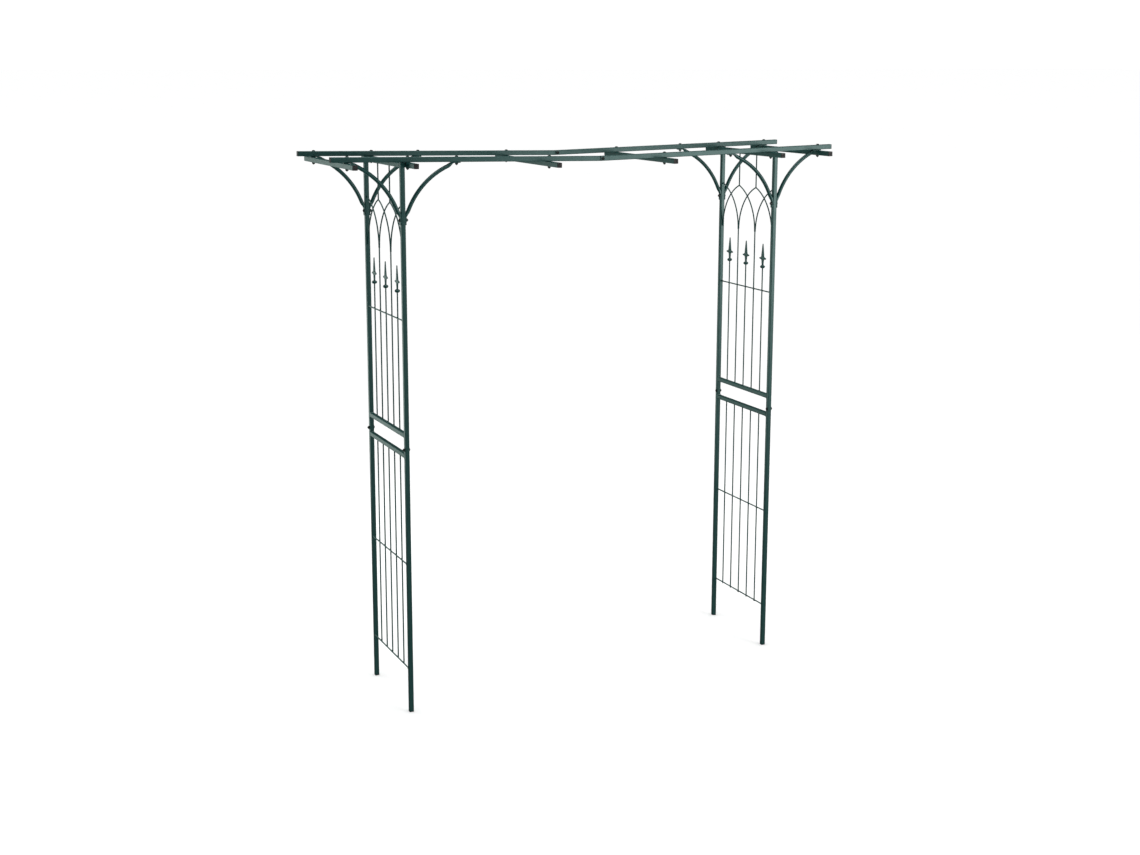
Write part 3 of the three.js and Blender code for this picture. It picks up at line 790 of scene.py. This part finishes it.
def brace_stations(run, radius, rise, slope):
    """The brace's line and section, with x away from the post's face and z = 0 at the post bolt.
    A flat tab bears on the post, a round arc follows, and a flat tab lies under the beam. Where the
    tube flattens, its far side closes in on the side that keeps to the post or to the beam."""
    centre_out = radius - BRACE_BACKSET
    tab_out = GAP + TAB_THICKNESS / 2

    def on_arc(angle):
        return centre_out - radius * math.sin(angle), BRACE_CENTRE_UP + radius * math.cos(angle)

    def half_thickness(flatness):
        return lerp(BRACE_TUBE_RADIUS, TAB_THICKNESS / 2, flatness)

    def station(out, up, flatness, trim=1.0):
        thick = half_thickness(flatness) * (1 if trim == 1 else 0.85)
        wide = lerp(BRACE_TUBE_RADIUS, TAB_WIDTH / 2, flatness) * trim
        squareness = lerp(ROUND_SECTION, FLAT_SECTION, flatness)
        return out, up, thick, wide, squareness, 1.0 if trim < 1 else 0.25 * flatness

    def tab_middle(beyond):
        return rise + beyond * MM * slope

    stations = [station(tab_out, up * MM, 1, trim) for up, trim in POST_TAB_STATIONS]
    for up in range(POST_TAB_END + BRACE_STEP, POST_ARC_START + 1, BRACE_STEP):
        angle = math.acos((up * MM - BRACE_CENTRE_UP) / radius)
        flatness = 1 - smooth((up - POST_TAB_END) / POST_BLEND)
        arc_side = on_arc(angle)[0] - BRACE_TUBE_RADIUS / math.sin(angle)
        side = lerp(GAP, arc_side, smooth((up - POST_LINE_START) / POST_BLEND))
        out = side + half_thickness(flatness) / math.sin(angle)
        stations.append(station(out, up * MM, flatness))
    first = math.acos((POST_ARC_START * MM - BRACE_CENTRE_UP) / radius)
    last = math.asin((centre_out - (run - BEAM_ARC_END * MM)) / radius)
    for step in range(1, BRACE_ARC_STEPS):
        stations.append(station(*on_arc(lerp(first, last, step / BRACE_ARC_STEPS)), 0))
    for before in range(BEAM_ARC_END, BEAM_TAB_START - 1, -BRACE_STEP):
        out = run - before * MM
        angle = math.asin((centre_out - out) / radius)
        flatness = smooth((BEAM_TAB_START + BEAM_BLEND - before) / BEAM_BLEND)
        arc_side = on_arc(angle)[1] + BRACE_TUBE_RADIUS / math.cos(angle)
        tab_side = tab_middle(-before) + TAB_THICKNESS / 2
        nearness = smooth((BEAM_TAB_START + BEAM_LINE_BLEND - before) / BEAM_LINE_BLEND)
        side = min(lerp(arc_side, tab_side, nearness), tab_side)
        lean = lerp(math.cos(angle), 1, flatness)
        stations.append(station(out, side - half_thickness(flatness) / lean, flatness))
    for beyond, trim in BEAM_TAB_STATIONS:
        stations.append(station(run + beyond * MM, tab_middle(beyond), 1, trim))
    return stations


def brace(form, matrix, name, tab_x, slope):
    rise = beam_underside(tab_x) - GAP - TAB_THICKNESS / 2 - BRACE_BOLT_Z
    stations = brace_stations(BRACE_RUN[name], BRACE_RADIUS[name], rise, slope)
    sweep(form, matrix, stations, BRACE_SIDES)


# ---------------------------------------------------------------- roof

def beam(form, matrix, side):
    """Half a beam. The left half carries the spigot that plugs into the right half."""
    square_tube(form, matrix @ ALONG_X, BEAM_WIDTH, BEAM_SEAM / 2, BEAM_HALF_LENGTH)
    if side == "left":
        level = matrix @ Matrix.Rotation(ROOF_TILT, 4, "Y") @ ALONG_X
        square_tube(form, level, BEAM_SPIGOT_WIDTH, -BEAM_SPIGOT_LENGTH, SPIGOT_ROOT)


# ---------------------------------------------------------------- the whole arch

FINISHES = {
    "green_powder_coat": powder_coat(),
    "black_plastic": black_plastic(),
    "bolt_steel": bolt_steel(),
}


def build(name, slot, nodes, maker, *arguments):
    """Makes one piece by running a shape's function on a fresh form."""
    form = Form()
    maker(form, *arguments)
    make_piece(name, form, FINISHES[slot], nodes)


def build_panel(side, sign):
    panel = panel_frame(sign)
    for depth, y_sign in DEPTHS:
        where = f"{depth}_{side}"
        foot = at(sign * POST_X, y_sign * POST_Y)
        build(f"foot_plug_{where}", "black_plastic", [f"foot_cap_{where}"],
              cap, foot @ at(z=CAP_FLANGE) @ UPSIDE_DOWN, POST_WIDTH)
        build(f"lower_tube_{where}", "green_powder_coat", [f"lower_post_{where}"],
              lower_post, foot)
        build(f"upper_tube_{where}", "green_powder_coat", [f"upper_post_{where}"],
              upper_post, foot)
        for node, seat, head_side in (
            ("post_splice_bolt", POST_WIDTH / 2 + GAP, -sign),
            ("brace_bolt", POST_WIDTH / 2 + TAB_THICKNESS + 2 * GAP, sign),
        ):
            turn = Matrix.Rotation(head_side * math.pi / 2, 4, "Y")
            place = foot @ at(z=middle(f"{node}_{where}").z) @ turn
            build(f"{node}_set_{where}", "bolt_steel", [f"{node}_{where}"],
                  fastener, place, seat, -seat)
        for name, away, tab_x in (
            ("outward", sign, OUTER_BAR_X),
            ("inward", -sign, BRACE_BOLT_X),
        ):
            face = at(sign * POST_X + away * POST_WIDTH / 2, y_sign * POST_Y, BRACE_BOLT_Z)
            turn = Matrix.Rotation(0 if away > 0 else math.pi, 4, "Z")
            slope = math.tan(ROOF_TILT) * (1 if name == "outward" else -1)
            build(f"{name}_brace_tube_{where}", "green_powder_coat", [f"{name}_brace_{where}"],
                  brace, face @ turn, name, tab_x, slope)
    for node in ("lower_panel_rail", "upper_panel_rail", "top_rail"):
        place = panel @ at(z=middle(f"{node}_{side}").z) @ ALONG_Y
        build(f"{node}_tube_{side}", "green_powder_coat", [f"{node}_{side}"], rail, place)
    for level in ("lower", "upper"):
        build(f"{level}_wires_{side}", "green_powder_coat", [f"{level}_lattice_{side}"],
              lattice, panel, side, level)
    build(f"arcade_wires_{side}", "green_powder_coat", [f"arcade_{side}"],
          arcade, panel, side)
    for where in ("front", "middle", "back"):
        node = f"finial_{where}_{side}"
        foot = middle(node)
        foot.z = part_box(node)[0].z
        build(f"{node}_cast", "green_powder_coat", [node], finial, Matrix.Translation(foot))


def build_roof_half(side, sign):
    roof = roof_frame(sign)
    local_y = {depth: y_sign * sign * POST_Y for depth, y_sign in DEPTHS}
    for depth, y in local_y.items():
        place = roof @ at(y=y)
        build(f"beam_tube_{depth}_{side}", "green_powder_coat", [f"beam_{depth}_{side}"],
              beam, place, side)
        build(f"beam_cap_{depth}_{side}", "black_plastic", [],
              cap, place @ at(x=BEAM_HALF_LENGTH) @ ALONG_X, BEAM_WIDTH)
        tab_foot = -BEAM_WIDTH / 2 - 2 * GAP - TAB_THICKNESS
        build(f"roof_brace_bolt_{depth}_{side}", "bolt_steel", [], fastener,
              roof @ at(BRACE_BOLT_X / math.cos(ROOF_TILT), y), BEAM_WIDTH / 2 + GAP, tab_foot)
    for name in ("inner", "post", "outer"):
        node = f"{name}_cross_bar_{side}"
        low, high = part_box(node)
        half = (high.y - low.y) / 2
        centre = roof.inverted() @ middle(node)
        bar = roof @ Matrix.Translation(centre)
        build(f"{node}_tube", "green_powder_coat", [node],
              square_tube, bar @ ALONG_Y, BEAM_WIDTH, -half, half)
        for depth, y in local_y.items():
            outwards = math.copysign(1, y)
            turn = Matrix.Rotation(-outwards * math.pi / 2, 4, "X")
            build(f"{node}_cap_{depth}", "black_plastic", [],
                  cap, bar @ at(y=outwards * half) @ turn, BEAM_WIDTH, True)
            build(f"{node}_bolt_{depth}", "bolt_steel", [], fastener,
                  roof @ at(centre.x, y), BEAM_WIDTH / 2 + GAP, centre.z - BEAM_WIDTH / 2 - GAP)


def build_beam_splices():
    for depth, y_sign in DEPTHS:
        node = f"beam_splice_bolt_{depth}"
        reach = BEAM_WIDTH / 2 + GAP
        place = middle(node)
        place.y = y_sign * POST_Y
        turn = Matrix.Rotation(math.pi / 2, 4, "X")
        build(f"{node}_set", "bolt_steel", [node],
              fastener, Matrix.Translation(place) @ turn, reach, -reach)


# ---------------------------------------------------------------- studio

def studio_floor():
    grid = bmesh.new()
    bmesh.ops.create_grid(grid, x_segments=8, y_segments=8, size=FLOOR_REACH)
    mesh = bpy.data.meshes.new("studio_floor")
    grid.to_mesh(mesh)
    grid.free()
    mesh.materials.append(floor_paint())
    floor = bpy.data.objects.new("studio_floor", mesh)
    floor.location.z = -FLOOR_DROP
    floor.visible_glossy = False
    bpy.context.scene.collection.objects.link(floor)


def softbox(name, place, target, width, height, power, colour):
    light = bpy.data.lights.new(name, "AREA")
    light.shape = "RECTANGLE"
    light.size = width
    light.size_y = height
    light.energy = power
    light.color = colour
    lamp = bpy.data.objects.new(name, light)
    lamp.location = place
    lamp.rotation_euler = (Vector(target) - Vector(place)).to_track_quat("-Z", "Y").to_euler()
    lamp.visible_camera = False
    bpy.context.scene.collection.objects.link(lamp)


def overhead_light():
    """A broad even light from above, which turns the pale floor white."""
    light = bpy.data.lights.new("overhead", "SUN")
    light.energy = SUN_STRENGTH
    light.angle = SUN_ANGLE
    lamp = bpy.data.objects.new("overhead", light)
    bpy.context.scene.collection.objects.link(lamp)


def studio_world():
    """A white backdrop for the camera, and a dimmer even light on the object."""
    world = bpy.data.worlds.new("studio")
    world.use_nodes = True
    tree = world.node_tree
    tree.nodes.clear()
    backdrop = tree.nodes.new("ShaderNodeBackground")
    backdrop.inputs["Color"].default_value = (1, 1, 1, 1)
    backdrop.inputs["Strength"].default_value = BACKDROP_STRENGTH
    room = tree.nodes.new("ShaderNodeBackground")
    room.inputs["Color"].default_value = ROOM_COLOUR
    room.inputs["Strength"].default_value = ROOM_STRENGTH
    path = tree.nodes.new("ShaderNodeLightPath")
    mix = tree.nodes.new("ShaderNodeMixShader")
    out = tree.nodes.new("ShaderNodeOutputWorld")
    tree.links.new(path.outputs["Is Camera Ray"], mix.inputs["Fac"])
    tree.links.new(room.outputs["Background"], mix.inputs[1])
    tree.links.new(backdrop.outputs["Background"], mix.inputs[2])
    tree.links.new(mix.outputs["Shader"], out.inputs["Surface"])
    bpy.context.scene.world = world


def studio_camera():
    data = bpy.data.cameras.new("camera")
    data.lens = CAMERA_LENS
    data.sensor_width = CAMERA_SENSOR
    data.shift_y = CAMERA_SHIFT_Y
    camera = bpy.data.objects.new("camera", data)
    camera.location = CAMERA_PLACE
    camera.rotation_euler = (math.pi / 2 - CAMERA_PITCH, CAMERA_ROLL, -CAMERA_YAW)
    bpy.context.scene.collection.objects.link(camera)
    bpy.context.scene.camera = camera


for side_name, side_sign in SIDES:
    build_panel(side_name, side_sign)
    build_roof_half(side_name, side_sign)
build_beam_splices()

studio_floor()
studio_world()
for box_values in SOFTBOXES:
    softbox(*box_values)
overhead_light()
studio_camera()
bpy.context.scene.view_settings.view_transform = "Standard"
